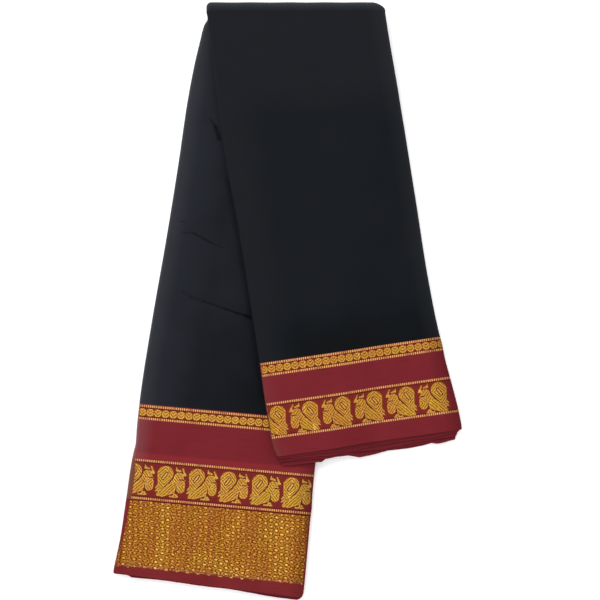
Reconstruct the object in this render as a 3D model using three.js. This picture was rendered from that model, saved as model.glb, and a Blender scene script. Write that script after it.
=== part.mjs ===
import * as THREE from "three";

// A saree folded lengthwise into a strip of many layers, then folded once across, so that its two
// legs fan apart and the front leg lies on the back leg. Millimetres. X runs right and Y up the page
// as the saree lies, Z up from the surface. The origin is on the surface, under the middle of it all.
// "down" is the distance from the outer edge of the cross fold, towards the two ends.

// Cells of the solids: round the fold, across the fold's pile, down each ground and down each border
const FOLD_STEPS = 8;
const FOLD_PILE_COLUMNS = 3;
const FIELD_ROWS = 22;
const BORDER_ROWS = 5;

// Thicknesses
const CLOTH = 1.2; // wall of each stretch of cloth that shows
const AIR = 0.3; // left open where two stretches meet
const LEG_THICK = 12; // one leg: all its layers pressed flat
const LIFT = LEG_THICK + AIR; // the front leg's underside where it lies on the back leg
const FOLD_EDGE_Y = 335.07;
const MIDDLE_X = 1.13; // of the bounding box, as the tables of outlines count x
const FOLD_RADIUS = LEG_THICK + AIR / 2;
const FOLD_AXIS_Y = FOLD_EDGE_Y - FOLD_RADIUS;
const LEG_START = FOLD_RADIUS + AIR / 2; // down, where both legs begin
const FOLD_PULL = { left: -0.3, right: 11, roundness: 1.4 }; // its corners are drawn in by this much

// Cross-section of a leg. The outer cloth wraps the closed side, and the open side shows leaves.
const CLOSED_SIDE = { across: 5, up: LEG_THICK / 2, reach: THREE.MathUtils.degToRad(75), steps: 6 };
const OPEN_SIDE = { across: 3, up: 2.2, steps: 3 };
const PILE_TOP = LEG_THICK - CLOTH - AIR;
const PLATEAU_STEPS = 12;
const LEAVES = 5; // rounded edges that stand for the pile of layers
const LEAF_THICK = (LEG_THICK - OPEN_SIDE.up - AIR) / LEAVES;
const LEAF_BITE = 1.3; // how far the groove between two leaves goes in
const LEAF_INSET = [0.9, 0, 0.6, 0.1, 0.5]; // open side, from the surface up
const TUCK = 1.5; // the pile's highest edge, inside the rounded edge of the top cloth

// How the front leg comes down from the back leg to the surface
const DRAPE_START = 9; // beyond the open side of the back leg
const DRAPE_RUN = 54;

// Outlines of the legs from above: columns down, x
const EDGES = {
  back_left: [
    [0, -90.2], [12, -89.6], [18, -88.9], [24, -93], [63, -102.4], [108, -111], [176, -121],
    [266, -135.5], [356, -151.2], [446, -165], [513, -173.8], [558, -180.5], [603, -187.4],
    [637, -194.6], [670, -200],
  ],
  back_right: [
    [0, 112], [120, 93.5], [260, 71], [400, 49.5], [524, 30.9], [558, 27.5], [603, 24.1],
    [643, 20.7], [680, 17],
  ],
  front_left: [
    [0, -90.2], [12, -89.4], [18, -88], [27, -88], [66, -82.6], [103, -78.4], [155, -71.6],
    [199, -64.1], [238, -56.5], [291, -47.6], [344, -39.4], [406, -29.7], [439, -25], [467, -20.6],
    [497, -14.9], [507, -11.1], [540, 3],
  ],
  front_right: [
    [0, 108.5], [23, 111.4], [43, 114.6], [87, 122.4], [143, 132.2], [221, 145], [311, 159.2],
    [374, 171], [423, 183.6], [457, 192.2], [480, 197.6], [540, 210],
  ],
};

// Lines that run across each leg, along the weave: columns down at the left edge, down at the right
const LINES = {
  back: {
    start: [LEG_START, LEG_START],
    border: [449.2, 467.7],
    brocade: [555.7, 574.4],
    selvedge: [638.8, 667.3],
  },
  front: {
    start: [LEG_START, LEG_START],
    border: [403.6, 374.1],
    selvedge: [507.4, 478],
  },
};

// How far each leaf pokes out past the selvedge of the top cloth: columns share of the way from the
// left to the right edge, then the five leaves from the surface up
const END_LEAVES = {
  back: [
    [0, 0.6, 0.7, 0.8, 1, 1.1],
    [0.1, 1, 1.4, 1.8, 2.4, 2.6],
    [0.45, 0.8, 1, 1.2, 1.4, 1.5],
    [0.7, 1.2, 1.6, 1.8, 2, 2],
    [1, 1.8, 2.2, 2.6, 3, 3],
  ],
  front: [
    [0, 11, 7, 3.5, 2.2, 0.6],
    [0.2, 13, 9, 6, 3, 1.1],
    [0.3, 9, 10.3, 7.2, 4.6, 1.8],
    [0.42, 9.5, 13.4, 8, 5.5, 2.6],
    [0.55, 11.5, 11.9, 9.8, 4.6, 2.2],
    [0.8, 11, 9.3, 7.5, 4.8, 1],
    [0.92, 8, 12.5, 7, 3.6, 1.2],
    [1, 8, 12, 7, 3, 1],
  ],
};
const END_INSET = { back: 1, front: 8.5 }; // where those leaves stop short of the open side
const END_LEAST = 0.4; // past the selvedge, where a groove goes in furthest

// Largest soft creases: columns leg, x and down of one end, x and down of the other, half width, depth
const CREASES = [
  ["back", -116, 322, -40, 354, 11, 1.3],
  ["back", -125, 244, -70, 275, 13, 0.9],
  ["front", 101, 82, 121, 98, 15, -1.2],
  ["front", 108, 112, 126, 124, 14, 1.1],
  ["front", -83, 128, -62, 205, 12, 1.2],
  ["front", 30, 330, 96, 352, 26, 0.8],
];

const lerp = THREE.MathUtils.lerp;
const smooth = THREE.MathUtils.smoothstep;

// A smooth curve through a table of [down, x].
function edgeCurve(table) {
  const downs = Float32Array.from(table, ([down]) => down);
  const xs = Float32Array.from(table, ([, x]) => x);
  const curve = new THREE.CubicInterpolant(downs, xs, 1);
  return (down) => curve.evaluate(down)[0];
}

const EDGE = Object.fromEntries(Object.entries(EDGES).map(([name, table]) => [name, edgeCurve(table)]));

// Height of a leg's underside above the surface.
function underside(leg, x, down) {
  if (leg === "back") return 0;
  const beyond = x - EDGE.back_right(down);
  return LIFT * (1 - smooth(beyond, DRAPE_START, DRAPE_START + DRAPE_RUN));
}

// How much a leg's thickness drops (or rises, if below zero) in its soft creases.
function creaseDepth(leg, x, down) {
  let total = 0;
  for (const [on, x0, down0, x1, down1, halfWidth, depth] of CREASES) {
    if (on !== leg) continue;
    const length = Math.hypot(x1 - x0, down1 - down0);
    const along = ((x - x0) * (x1 - x0) + (down - down0) * (down1 - down0)) / length;
    const off = ((x - x0) * (down1 - down0) - (down - down0) * (x1 - x0)) / length;
    const past = Math.max(0, -along, along - length);
    total += depth * Math.exp(-((off * off + past * past) / (halfWidth * halfWidth)));
  }
  return total;
}

// The left and the right end of a row that crosses a leg between two downs.
function rowEnds(leg, row) {
  return [
    new THREE.Vector2(EDGE[leg + "_left"](row[0]), row[0]),
    new THREE.Vector2(EDGE[leg + "_right"](row[1]), row[1]),
  ];
}

// A point of a leg. The row crosses the leg between two downs, "across" is the distance from its left
// edge, and "up" the height in the pile.
function legPoint(leg, row, across, up) {
  const [left, right] = rowEnds(leg, row);
  const width = left.distanceTo(right);
  const at = left.lerp(right, across(width) / width);
  const press = 1 - creaseDepth(leg, at.x, at.y) / LEG_THICK;
  const height = underside(leg, at.x, at.y) + up * press;
  return new THREE.Vector3(at.x - MIDDLE_X, FOLD_EDGE_Y - at.y, height);
}

// A point of the cross fold at an angle from the back leg's underside (-90) to the front leg's top.
function foldPoint(turn, across, up) {
  const angle = (turn - 0.5) * Math.PI;
  const pulled = Math.cos(angle) ** FOLD_PULL.roundness;
  const left = lerp(EDGE.back_left(LEG_START), EDGE.front_left(LEG_START), turn) + FOLD_PULL.left * pulled;
  const right = lerp(EDGE.back_right(LEG_START), EDGE.front_right(LEG_START), turn) - FOLD_PULL.right * pulled;
  const radius = AIR / 2 + up;
  return new THREE.Vector3(
    left + across(right - left) - MIDDLE_X,
    FOLD_AXIS_Y + radius * Math.cos(angle),
    FOLD_RADIUS + radius * Math.sin(angle),
  );
}

// Cross-section of the outer cloth, "inset" inside its outer face: a list of {across, up}.
function wrapProfile(inset) {
  const points = [];
  for (let i = 0; i <= CLOSED_SIDE.steps; i += 1) {
    const angle = lerp(-CLOSED_SIDE.reach, Math.PI / 2, i / CLOSED_SIDE.steps);
    points.push({
      across: () => CLOSED_SIDE.across - (CLOSED_SIDE.across - inset) * Math.cos(angle),
      up: CLOSED_SIDE.up + (CLOSED_SIDE.up - inset) * Math.sin(angle),
    });
  }
  for (let i = 1; i < PLATEAU_STEPS; i += 1) {
    points.push({ across: plateau(i / PLATEAU_STEPS), up: LEG_THICK - inset });
  }
  for (let i = 0; i <= OPEN_SIDE.steps; i += 1) {
    const angle = lerp(Math.PI / 2, 0, i / OPEN_SIDE.steps);
    points.push({
      across: (width) => width - OPEN_SIDE.across + (OPEN_SIDE.across - inset) * Math.cos(angle),
      up: LEG_THICK - OPEN_SIDE.up + (OPEN_SIDE.up - inset) * Math.sin(angle),
    });
  }
  return points;
}

// Across the flat of the top, as a function of the leg's width.
function plateau(share) {
  return (width) => lerp(CLOSED_SIDE.across, width - OPEN_SIDE.across, share);
}

// Rows of the pile's side, from the surface up: {up, left, right, leaf, below, bite}. The closed side
// is round, the open side and the end alternate between the grooves and the crests of the leaves.
function pileRows() {
  const rows = [];
  for (let i = 0; i <= 2 * LEAVES; i += 1) {
    const crest = i % 2 === 1;
    const leaf = Math.min(LEAVES - 1, Math.floor(i / 2));
    const below = Math.max(0, leaf - 1);
    const inset = crest ? LEAF_INSET[leaf] : Math.max(LEAF_INSET[leaf], LEAF_INSET[below]) + LEAF_BITE;
    const bite = crest ? 0 : LEAF_BITE;
    rows.push({ up: (i * LEAF_THICK) / 2, right: i === 2 * LEAVES ? TUCK : inset, leaf, below, bite });
  }
  const top = LEAVES - 1;
  rows.push({ up: PILE_TOP, right: OPEN_SIDE.across, leaf: top, below: top, bite: LEAF_BITE });
  const inset = CLOTH + AIR;
  const round = (up) => Math.sqrt(Math.max(0, 1 - ((up - CLOSED_SIDE.up) / (CLOSED_SIDE.up - inset)) ** 2));
  for (const row of rows) row.left = CLOSED_SIDE.across - (CLOSED_SIDE.across - inset) * round(row.up);
  return rows;
}

// How far a row of the pile's side pokes out past the selvedge, at a share of the way across.
function endOut(leg, side, share) {
  const table = END_LEAVES[leg];
  const next = Math.max(1, table.findIndex(([station]) => station >= share));
  const [from, to] = [table[next - 1], table[next]];
  const t = (share - from[0]) / (to[0] - from[0]);
  const out = (leaf) => lerp(from[1 + leaf], to[1 + leaf], t);
  const crest = side.bite > 0 ? Math.min(out(side.leaf), out(side.below)) : out(side.leaf);
  return Math.max(END_LEAST, crest - side.bite);
}

// A closed body from a block of cells, rows by columns by levels: place(row, column, level) gives each
// corner. Rows run towards the end of a leg, columns to the right, levels outwards.
function block(rows, columns, levels, place) {
  const ids = new Map();
  const points = [];
  const faces = [];
  const id = (cell) => {
    const key = cell.join();
    if (!ids.has(key)) {
      ids.set(key, ids.size);
      points.push(...place(...cell).toArray());
    }
    return ids.get(key);
  };
  const sizes = [rows, columns, levels];
  for (let axis = 0; axis < 3; axis += 1) {
    const [u, v] = [(axis + 1) % 3, (axis + 2) % 3];
    for (const side of [0, sizes[axis]]) {
      for (let i = 0; i < sizes[u]; i += 1) {
        for (let j = 0; j < sizes[v]; j += 1) {
          const corner = (di, dj) => {
            const cell = [0, 0, 0];
            cell[axis] = side;
            cell[u] = i + di;
            cell[v] = j + dj;
            return id(cell);
          };
          const quad = [corner(0, 0), corner(1, 0), corner(1, 1), corner(0, 1)];
          const order = side === 0 ? [0, 2, 1, 0, 3, 2] : [0, 1, 2, 0, 2, 3];
          faces.push(...order.map((k) => quad[k]));
        }
      }
    }
  }
  const geometry = new THREE.BufferGeometry();
  geometry.setAttribute("position", new THREE.Float32BufferAttribute(points, 3));
  geometry.setIndex(faces);
  geometry.computeVertexNormals();
  return geometry;
}

// The row at a share of the way between two cross lines, less half the air at each end that meets
// another stretch.
function rowBetween(from, to, share, trim) {
  const mix = (k) => lerp(from[k] + trim.start, to[k] - trim.end, share);
  return [mix(0), mix(1)];
}

// A stretch of the outer cloth between two cross lines of a leg.
function legCloth(leg, from, to, steps, trim) {
  const profiles = [wrapProfile(CLOTH), wrapProfile(0)];
  return block(steps, profiles[0].length - 1, 1, (i, j, k) => {
    const row = rowBetween(LINES[leg][from], LINES[leg][to], i / steps, trim);
    return legPoint(leg, row, profiles[k][j].across, profiles[k][j].up);
  });
}

// The pile of hidden layers between two cross lines of a leg. An open end has one more row, in which
// its leaves poke out past the outer cloth.
function legPile(leg, from, to, steps, trim, open) {
  const sides = pileRows();
  return block(open ? steps + 1 : steps, PLATEAU_STEPS, sides.length - 1, (i, j, k) => {
    const row = rowBetween(LINES[leg][from], LINES[leg][to], Math.min(1, i / steps), trim);
    const side = sides[k];
    let across = plateau(j / PLATEAU_STEPS);
    if (j === 0) across = () => side.left;
    const short = i > steps ? END_INSET[leg] : 0;
    if (j === PLATEAU_STEPS) across = (width) => width - side.right - short;
    if (i > steps) {
      const [left, right] = rowEnds(leg, row);
      const width = left.distanceTo(right);
      const out = endOut(leg, side, across(width) / width);
      row[0] += out;
      row[1] += out;
    }
    return legPoint(leg, row, across, side.up);
  });
}

// The outer cloth round the cross fold, and the pile inside it.
function foldCloth() {
  const profiles = [wrapProfile(CLOTH), wrapProfile(0)];
  return block(FOLD_STEPS, profiles[0].length - 1, 1, (i, j, k) =>
    foldPoint(i / FOLD_STEPS, profiles[k][j].across, profiles[k][j].up),
  );
}

function foldPile() {
  const sides = pileRows();
  return block(FOLD_STEPS, FOLD_PILE_COLUMNS, sides.length - 1, (i, j, k) => {
    let across = plateau(j / FOLD_PILE_COLUMNS);
    if (j === 0) across = () => sides[k].left;
    if (j === FOLD_PILE_COLUMNS) across = (width) => width - sides[k].right;
    return foldPoint(i / FOLD_STEPS, across, sides[k].up);
  });
}

const GROUND = { color: "#22262a", roughness: 0.85, metalness: 0 };
const MAROON = { color: "#7a2a30", roughness: 0.8, metalness: 0 };
const BROCADE = { color: "#a56f2c", roughness: 0.5, metalness: 0.4 };

const saree = new THREE.Group();
saree.name = "saree";

function add(name, geometry, finish) {
  const mesh = new THREE.Mesh(geometry, new THREE.MeshStandardMaterial(finish));
  mesh.name = name;
  saree.add(mesh);
}

// Gaps at the ends of a stretch: at a seam, between two others, and at a free end
const JOIN = { start: 0, end: AIR / 2 };
const BETWEEN = { start: AIR / 2, end: AIR / 2 };
const LAST = { start: AIR / 2, end: 0 };

add("fold_ground", foldCloth(), GROUND);
add("fold_layers", foldPile(), GROUND);
add("front_ground", legCloth("front", "start", "border", FIELD_ROWS, JOIN), GROUND);
add("front_layers", legPile("front", "start", "border", FIELD_ROWS, JOIN, false), GROUND);
add("front_border", legCloth("front", "border", "selvedge", BORDER_ROWS, LAST), MAROON);
add("front_border_layers", legPile("front", "border", "selvedge", BORDER_ROWS, LAST, true), MAROON);
add("back_ground", legCloth("back", "start", "border", FIELD_ROWS, JOIN), GROUND);
add("back_layers", legPile("back", "start", "border", FIELD_ROWS, JOIN, false), GROUND);
add("back_border", legCloth("back", "border", "brocade", BORDER_ROWS, BETWEEN), MAROON);
add("back_brocade", legCloth("back", "brocade", "selvedge", BORDER_ROWS, LAST), BROCADE);
add("back_border_layers", legPile("back", "border", "selvedge", 2 * BORDER_ROWS, LAST, true), MAROON);

export default saree;
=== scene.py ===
"""Looks of the folded saree: outer cloth, hidden layers, woven borders, studio and camera."""

import logging
import math
from dataclasses import dataclass
from enum import Enum
from typing import Callable

import bpy
import numpy as np
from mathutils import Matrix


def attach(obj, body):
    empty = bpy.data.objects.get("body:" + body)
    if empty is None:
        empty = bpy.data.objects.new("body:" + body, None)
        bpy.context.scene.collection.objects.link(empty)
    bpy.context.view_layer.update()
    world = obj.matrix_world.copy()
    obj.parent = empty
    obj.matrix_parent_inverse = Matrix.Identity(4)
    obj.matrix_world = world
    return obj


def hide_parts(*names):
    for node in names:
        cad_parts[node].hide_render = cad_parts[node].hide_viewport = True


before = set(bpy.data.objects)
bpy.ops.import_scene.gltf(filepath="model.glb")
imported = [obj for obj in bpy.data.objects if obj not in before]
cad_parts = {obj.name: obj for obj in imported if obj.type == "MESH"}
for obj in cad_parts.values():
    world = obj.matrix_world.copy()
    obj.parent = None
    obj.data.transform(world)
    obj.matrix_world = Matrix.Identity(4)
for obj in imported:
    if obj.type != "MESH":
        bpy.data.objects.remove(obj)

LOG = logging.getLogger("saree")
Array = np.ndarray
Pair = tuple[float, float]
Sides = tuple[Array, Array]  # one value at the left edge and one at the right

# Sizes are in millimetres. Down is the distance from the outer edge of the cross fold
MM = 0.001
CLOTH = 0.5  # thickness of the outer cloth's shell; a thinner one would show the layers through it
CLEAR = 0.1  # gap between the outer cloth and the layers under it
LEG_THICK = 12.0  # one leg, all its layers pressed flat
LIFT = 12.3  # underside of the front leg where it lies on the back leg
PILE_TOP = 11.35
FOLD_EDGE_Y = 335.07
FOLD_RADIUS = 12.15
FOLD_INNER = 0.15  # radius of the underside of the bent layers
MIDDLE_X = 1.13  # of the bounding box, as the outlines count x
LEG_START = 12.3  # down, where both legs begin

CLOSED_ACROSS = 5.0  # rounding of the closed side
CLOSED_REACH = math.radians(75)
OPEN_ACROSS = 3.0  # rounding of the open side
OPEN_UP = 2.2

FAR = 9.0  # stands for any distance from a woven figure that is out of reach
STITCH = 2.4  # from one gold stitch or rib to the next; really about 1.5, too fine to show
SHEEN = "#bfbfc2"
# colour of the painted shade near the open side, where the cloth rounds down away from the light
SIDE_SHADE = "#160605"
WHITE = (1.0, 1.0, 1.0, 1.0)


class Leg(Enum):
    """The two legs of the folded strip."""

    BACK = "back"
    FRONT = "front"


@dataclass(frozen=True)
class Edge:
    """One side of a leg from above.

    Args:
        stations: pairs of distance down from the cross fold and x, in millimetres.
    """

    stations: tuple[Pair, ...]

    def x(self, down: Array) -> Array:
        """Smooth x of the edge.

        Args:
            down: distances from the cross fold.

        Returns:
            The x of the edge at each distance.
        """
        downs, xs = np.array(self.stations).T
        slopes = np.gradient(xs, downs)
        i = np.clip(np.searchsorted(downs, down) - 1, 0, len(downs) - 2)
        span = downs[i + 1] - downs[i]
        t = (down - downs[i]) / span
        return (
            xs[i] * (1 + 2 * t) * (1 - t) ** 2
            + xs[i + 1] * t * t * (3 - 2 * t)
            + slopes[i] * span * t * (1 - t) ** 2
            - slopes[i + 1] * span * t * t * (1 - t)
        )


EDGES: dict[Leg, tuple[Edge, Edge]] = {
    Leg.BACK: (
        Edge((
            (0, -90.2), (12, -89.6), (18, -88.9), (24, -92.4), (32, -94.9), (42, -97.2), (52, -99.7),
            (63, -102.3), (108, -111), (176, -121), (266, -135.5), (356, -151.2), (446, -165),
            (480, -168.6), (495, -169.7), (506, -172.4), (513, -173.8), (558, -180.5), (603, -187.4),
            (637, -194.6), (670, -200)
        )),
        Edge((
            (0, 112), (120, 93.5), (260, 71), (400, 49.5), (524, 31.7), (540, 30), (558, 28.7),
            (567, 28.3), (580, 26.6), (603, 24.6), (643, 21), (680, 17)
        )),
    ),
    Leg.FRONT: (
        Edge((
            (0, -90.2), (12, -89.4), (18, -88), (27, -88), (66, -82.6), (103, -78.4), (155, -71.6),
            (199, -64.1), (238, -56.5), (291, -47.6), (344, -39.4), (406, -29.7), (439, -25),
            (467, -20.6), (497, -14.9), (507, -11.1), (540, 3)
        )),
        Edge((
            (0, 108.5), (23, 111.4), (43, 114.6), (87, 122.4), (143, 132.2), (221, 145), (311, 159.2),
            (374, 172.2), (385, 175.1), (397, 177.4), (423, 184.3), (457, 193), (480, 197.6), (540, 210)
        )),
    ),
}


@dataclass(frozen=True)
class Crease:
    """A soft trough (or a ridge, with a depth below zero) in the top of a leg.

    Args:
        leg: the leg it lies on.
        start: x and down of one end, in millimetres.
        end: x and down of the other end.
        width: half width near its middle.
        depth: depth in millimetres.
    """

    leg: Leg
    start: Pair
    end: Pair
    width: float
    depth: float

    def drop(self, x: Array, down: Array) -> Array:
        """How far the crease lowers the cloth.

        Args:
            x: across, in millimetres.
            down: distance from the cross fold.

        Returns:
            The drop at each point.
        """
        (x0, d0), (x1, d1) = self.start, self.end
        length = math.hypot(x1 - x0, d1 - d0)
        along = ((x - x0) * (x1 - x0) + (down - d0) * (d1 - d0)) / length
        off = ((x - x0) * (d1 - d0) - (down - d0) * (x1 - x0)) / length
        share = np.clip(along / length, 0, 1)
        bow = 0.06 * length * np.sin(math.pi * share)
        past = np.maximum(0, np.maximum(-along, along - length))
        return self.depth * np.exp(-(((off - bow) / self.width) ** 2) - (past / (1.5 * self.width)) ** 2)


CREASES: tuple[Crease, ...] = (
    Crease(Leg.BACK, (-116, 325), (-94, 334), 5.0, 0.8),
    Crease(Leg.BACK, (-94, 334), (-40, 352), 4.5, 1.8),
    Crease(Leg.BACK, (-108, 258), (-70, 274), 3.0, 0.9),
    Crease(Leg.BACK, (-121, 245), (-112, 246), 3.0, 0.9),
    Crease(Leg.BACK, (-86, 130), (-72, 152), 4.5, 1.2),
    Crease(Leg.FRONT, (101, 82), (121, 98), 9.0, -1.0),
    Crease(Leg.FRONT, (108, 112), (126, 124), 8.0, 1.1),
    Crease(Leg.FRONT, (-83, 128), (-73, 148), 4.5, 2.2),
    Crease(Leg.FRONT, (-73, 148), (-62, 205), 3.0, 1.0),
    Crease(Leg.FRONT, (-30, 96), (60, 104), 16.0, 0.6),
    Crease(Leg.FRONT, (30, 330), (96, 352), 20.0, 0.7),
)


def smoothstep(value: Array, low: float, high: float) -> Array:
    """Smooth step from 0 at low to 1 at high.

    Args:
        value: where to take it.
        low: where it starts.
        high: where it ends.

    Returns:
        The step at each value.
    """
    t = np.clip((value - low) / (high - low), 0, 1)
    return t * t * (3 - 2 * t)


@dataclass(frozen=True)
class LegForm:
    """The form of one leg: where a point of its pile lies in the row frame.

    Args:
        leg: which leg.
        drape_start: where the front leg starts to come down, beyond the back leg's open side.
        drape_run: how far it takes to reach the surface.
    """

    leg: Leg
    drape_start: float = 9.0
    drape_run: float = 54.0

    def underside(self, x: Array, down: Array) -> Array:
        """Height of the leg's underside above the surface: none for the back leg."""
        fall = smoothstep(x - EDGES[Leg.BACK][1].x(down), self.drape_start, self.drape_start + self.drape_run)
        return (self.leg is Leg.FRONT) * LIFT * (1 - fall)

    def press(self, x: Array, down: Array) -> Array:
        """Share of its thickness that the leg keeps, with its creases and two slow swells.

        Args:
            x: across, in millimetres.
            down: distance from the cross fold.

        Returns:
            The share at each point.
        """
        drop = sum(c.drop(x, down) for c in CREASES if c.leg is self.leg)
        swell = 0.16 * np.sin(x / 31 + down / 47) + 0.12 * np.sin(x / 19 - down / 63 + 1.3)
        most = 0.28  # the two swells together, so that the leg only sinks
        return 1 - (drop + swell + most) / LEG_THICK

    def width(self, row: Sides) -> Array:
        """Width of the leg along a row that crosses it between two downs."""
        left, right = EDGES[self.leg]
        return np.hypot(right.x(row[1]) - left.x(row[0]), row[1] - row[0])

    def point(self, row: Sides, across: Array, up: Array) -> Array:
        """Points of the leg.

        Args:
            row: down at the left and at the right edge of the row that crosses the leg.
            across: distance from the left edge.
            up: height in the pile.

        Returns:
            An array of x, y and z in millimetres.
        """
        left, right = EDGES[self.leg]
        share = across / self.width(row)
        x = left.x(row[0]) * (1 - share) + right.x(row[1]) * share
        down = row[0] * (1 - share) + row[1] * share
        z = self.underside(x, down) + up * self.press(x, down)
        return np.stack([x - MIDDLE_X, FOLD_EDGE_Y - down, z], axis=-1)


@dataclass(frozen=True)
class Corner:
    """The rounded corner between the end of a leg and its open side.

    Args:
        end: down of the corner at the open side.
        radius: its radius.
    """

    end: float
    radius: float

    def rounded(self, row: Sides, across: Array, width: Array) -> tuple[Sides, Array]:
        """Draws the points near the corner in to its arc.

        Args:
            row: down at the left and at the right edge of the row of each point.
            across: distance of each point from the left edge.
            width: width of the leg along each row.

        Returns:
            The row and the distance across, drawn in.
        """
        a = np.clip(1 - (width - across) / self.radius, 0, 1)
        b = np.clip(1 - (self.end - row[1]) / self.radius, 0, 1)
        side = self.radius * a * (1 - np.sqrt(1 - b * b / 2))
        back = self.radius * b * (1 - np.sqrt(1 - a * a / 2))
        return (row[0] - back, row[1] - back), across - side


@dataclass(frozen=True)
class FoldForm:
    """The form of the cross fold, half round from the back leg's underside to the front leg's top.

    Args:
        pull_left: how far its left side draws in at the outer edge.
        pull_right: how far its right side does.
        square: how late the sides draw in; more is squarer.
    """

    pull_left: float = -0.3
    pull_right: float = 11.0
    square: float = 2.3

    def width(self, turn: Array) -> Array:
        """Width of the strip at a turn from 0 (back leg's underside) to 1 (front leg's top)."""
        left, right = self.sides(turn)
        return right - left

    def sides(self, turn: Array) -> Sides:
        """Where the two sides of the strip lie.

        Args:
            turn: how far round the fold, from 0 to 1.

        Returns:
            The x of both sides.
        """
        start = np.array(LEG_START)
        pulled = np.cos((turn - 0.5) * math.pi).clip(0) ** self.square
        back, front = EDGES[Leg.BACK], EDGES[Leg.FRONT]
        left = back[0].x(start) * (1 - turn) + front[0].x(start) * turn + self.pull_left * pulled
        right = back[1].x(start) * (1 - turn) + front[1].x(start) * turn - self.pull_right * pulled
        return left, right

    def point(self, turn: Array, across: Array, up: Array) -> Array:
        """Points of the fold.

        Args:
            turn: how far round the fold, from 0 to 1.
            across: distance from the left side.
            up: height in the pile.

        Returns:
            An array of x, y and z in millimetres.
        """
        angle = (turn - 0.5) * math.pi
        radius = FOLD_INNER + up
        x = self.sides(turn)[0] + across - MIDDLE_X
        y = FOLD_EDGE_Y - FOLD_RADIUS + radius * np.cos(angle)
        return np.stack([x, y, FOLD_RADIUS + radius * np.sin(angle)], axis=-1)


@dataclass(frozen=True)
class Wrap:
    """Cross-section of the outer cloth: round the closed side, over the top, and over the open side.

    Args:
        columns: cells over the flat of the top.
        closed_steps: cells round the closed side.
        open_steps: cells round the open side.
    """

    columns: int
    closed_steps: int = 14
    open_steps: int = 6

    def profile(self, width: Array) -> tuple[Array, Array, Array]:
        """The section for each width.

        Args:
            width: widths of the rows, as an array of one column.

        Returns:
            Distance across, height, and distance along the cloth from the leg's left edge.
        """
        half = LEG_THICK / 2
        a = np.linspace(-CLOSED_REACH, math.pi / 2, self.closed_steps + 1)
        b = np.linspace(math.pi / 2, 0, self.open_steps + 1)
        flat = np.linspace(0, 1, self.columns + 1)[1:-1]
        closed = np.broadcast_to(CLOSED_ACROSS * (1 - np.cos(a)), (len(width), len(a)))
        top = CLOSED_ACROSS + (width - OPEN_ACROSS - CLOSED_ACROSS) * flat
        opened = width - OPEN_ACROSS + OPEN_ACROSS * np.cos(b)
        across = np.concatenate([closed, top, opened], axis=1)
        side = LEG_THICK - OPEN_UP + OPEN_UP * np.sin(b)
        up = np.concatenate([half + half * np.sin(a), np.full(len(flat), LEG_THICK), side])
        up = np.broadcast_to(up, across.shape)
        steps = np.hypot(np.diff(across, axis=1), np.diff(up, axis=1))
        along = np.concatenate([np.zeros((len(width), 1)), np.cumsum(steps, axis=1)], axis=1)
        return across, up, along - along[:, [self.closed_steps]] + CLOSED_ACROSS


def set_points(mesh: bpy.types.Mesh, points: Array) -> None:
    """Puts the vertices at points given in millimetres."""
    mesh.vertices.foreach_set("co", (points.reshape(-1, 3) * MM).astype(np.float32).ravel())
    mesh.update()


def set_attribute(mesh: bpy.types.Mesh, name: str, values: Array) -> None:
    """Stores three numbers at each vertex, for the materials to read."""
    layer = mesh.attributes.new(name, "FLOAT_VECTOR", "POINT")
    layer.data.foreach_set("vector", values.astype(np.float32).ravel())


def smooth_shade(piece: bpy.types.Object, degrees: float) -> None:
    """Smooth shading.

    Args:
        piece: the piece.
        degrees: the angle between two faces above which their edge stays sharp.
    """
    bpy.ops.object.select_all(action="DESELECT")
    piece.select_set(True)
    bpy.context.view_layer.objects.active = piece
    bpy.ops.object.shade_smooth_by_angle(angle=math.radians(degrees))


def cloth_shell(name: str, points: Array, facts: dict[str, Array]) -> bpy.types.Object:
    """A thin shell whose outer face runs through a grid of points.

    Args:
        name: the piece's name.
        points: outer points by row and column, rows from the cross fold down.
        facts: attributes to store, each by row and column with three numbers.

    Returns:
        The piece, with its thickness applied.
    """
    rows, columns = points.shape[:2]
    bpy.ops.object.select_all(action="DESELECT")
    bpy.ops.mesh.primitive_grid_add(x_subdivisions=columns - 1, y_subdivisions=rows - 1, size=1)
    piece = bpy.context.active_object
    piece.name = piece.data.name = name
    set_points(piece.data, points[::-1])
    for key, values in facts.items():
        set_attribute(piece.data, key, values[::-1].reshape(-1, 3))
    thick = piece.modifiers.new("thickness", "SOLIDIFY")
    thick.thickness = CLOTH * MM
    thick.offset = -1
    thick.use_even_offset = True
    bpy.ops.object.modifier_apply(modifier=thick.name)
    smooth_shade(piece, 50)
    return piece


Place = Callable[[Array, Array, Array], Array]


def block(name: str, sizes: tuple[int, int, int], place: Place) -> bpy.types.Object:
    """A closed body from a block of cells: rows by columns by levels.

    Args:
        name: the piece's name.
        sizes: cells along rows, columns and levels.
        place: gives the points of rows, columns and levels in millimetres, and their attribute.

    Returns:
        The piece.
    """
    rows, columns, levels = sizes
    i, j, k = np.meshgrid(*(np.arange(n + 1) for n in sizes), indexing="ij")
    shell = (i % rows == 0) | (j % columns == 0) | (k % levels == 0)
    ids = np.full(shell.shape, -1)
    ids[shell] = np.arange(shell.sum())
    faces = []
    for axis in range(3):
        for side in (0, sizes[axis]):
            sheet = np.take(ids, side, axis=axis)
            if axis == 1:
                sheet = sheet.T
            quad = [sheet[:-1, :-1], sheet[1:, :-1], sheet[1:, 1:], sheet[:-1, 1:]]
            if side == 0:
                quad = quad[::-1]
            faces.append(np.stack(quad, axis=-1).reshape(-1, 4))
    points = place(i[shell], j[shell], k[shell])
    mesh = bpy.data.meshes.new(name)
    mesh.from_pydata((points[:, :3] * MM).tolist(), [], np.concatenate(faces).tolist())
    set_attribute(mesh, "weave", points[:, 3:6])
    piece = bpy.data.objects.new(name, mesh)
    bpy.context.scene.collection.objects.link(piece)
    smooth_shade(piece, 60)
    return piece


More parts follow.
